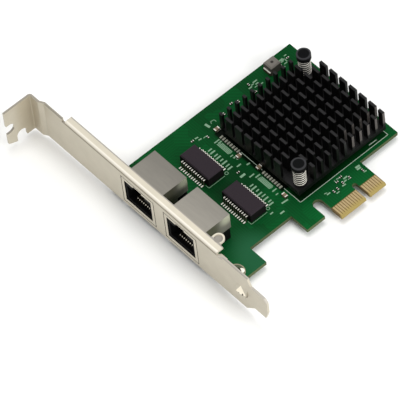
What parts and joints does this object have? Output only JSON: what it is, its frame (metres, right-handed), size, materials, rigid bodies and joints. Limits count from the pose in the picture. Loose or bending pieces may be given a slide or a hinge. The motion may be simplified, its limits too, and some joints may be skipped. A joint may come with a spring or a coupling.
{
  "type": "network interface card",
  "caption": "Low PCI Express x1 network card with two shielded jacks, a black pin-fin heatsink held by push pins and a full-height steel bracket",
  "frame": {"origin": "where the key notch's centre line meets the mating edge, on the component face", "axes": "+X from the bracket along the card, +Y from the mating edge to the bracket's screw tab, +Z out of the component face"},
  "size_m": [0.0981, 0.121, 0.0204],
  "materials": {
    "laminate": "satin",
    "gold": "polished",
    "bracket_steel": "satin",
    "shield_steel": "satin",
    "black_plastic": "matte",
    "mould": "matte",
    "tin": "satin",
    "anodised": "satin",
    "spring_steel": "polished",
    "silicone": "matte",
    "tan_ceramic": "matte",
    "dark_ceramic": "satin",
    "screw_steel": "satin",
    "copper": "satin",
    "ferrite": "matte"
  },
  "bodies": {
    "root": {"circuit_board": "laminate", "edge_contacts_component_side": "gold", "edge_contacts_solder_side": "gold", "mounting_hole_ring": "copper", "bracket": "bracket_steel", "bracket_screw_upper": "screw_steel", "bracket_screw_lower": "screw_steel", "port_a_shield": "shield_steel", "port_b_shield": "shield_steel", "port_a_housing": "black_plastic", "port_b_housing": "black_plastic", "port_a_contacts": "gold", "port_b_contacts": "gold", "transformer_a_body": "mould", "transformer_b_body": "mould", "transformer_a_leads": "tin", "transformer_b_leads": "tin", "heatsink": "anodised", "push_pin_a": "black_plastic", "push_pin_b": "black_plastic", "push_pin_spring_a": "spring_steel", "push_pin_spring_b": "spring_steel", "controller_chip": "mould", "thermal_pad": "silicone", "inductor_body": "ferrite", "inductor_terminals": "tin", "resistor_row_a_bodies": "dark_ceramic", "resistor_row_a_terminals": "tin", "resistor_row_b_bodies": "dark_ceramic", "resistor_row_b_terminals": "tin", "capacitor_bodies": "tan_ceramic", "capacitor_terminals": "tin", "bypass_capacitor_bodies": "tan_ceramic", "bypass_capacitor_terminals": "tin"}
  },
  "joints": []
}
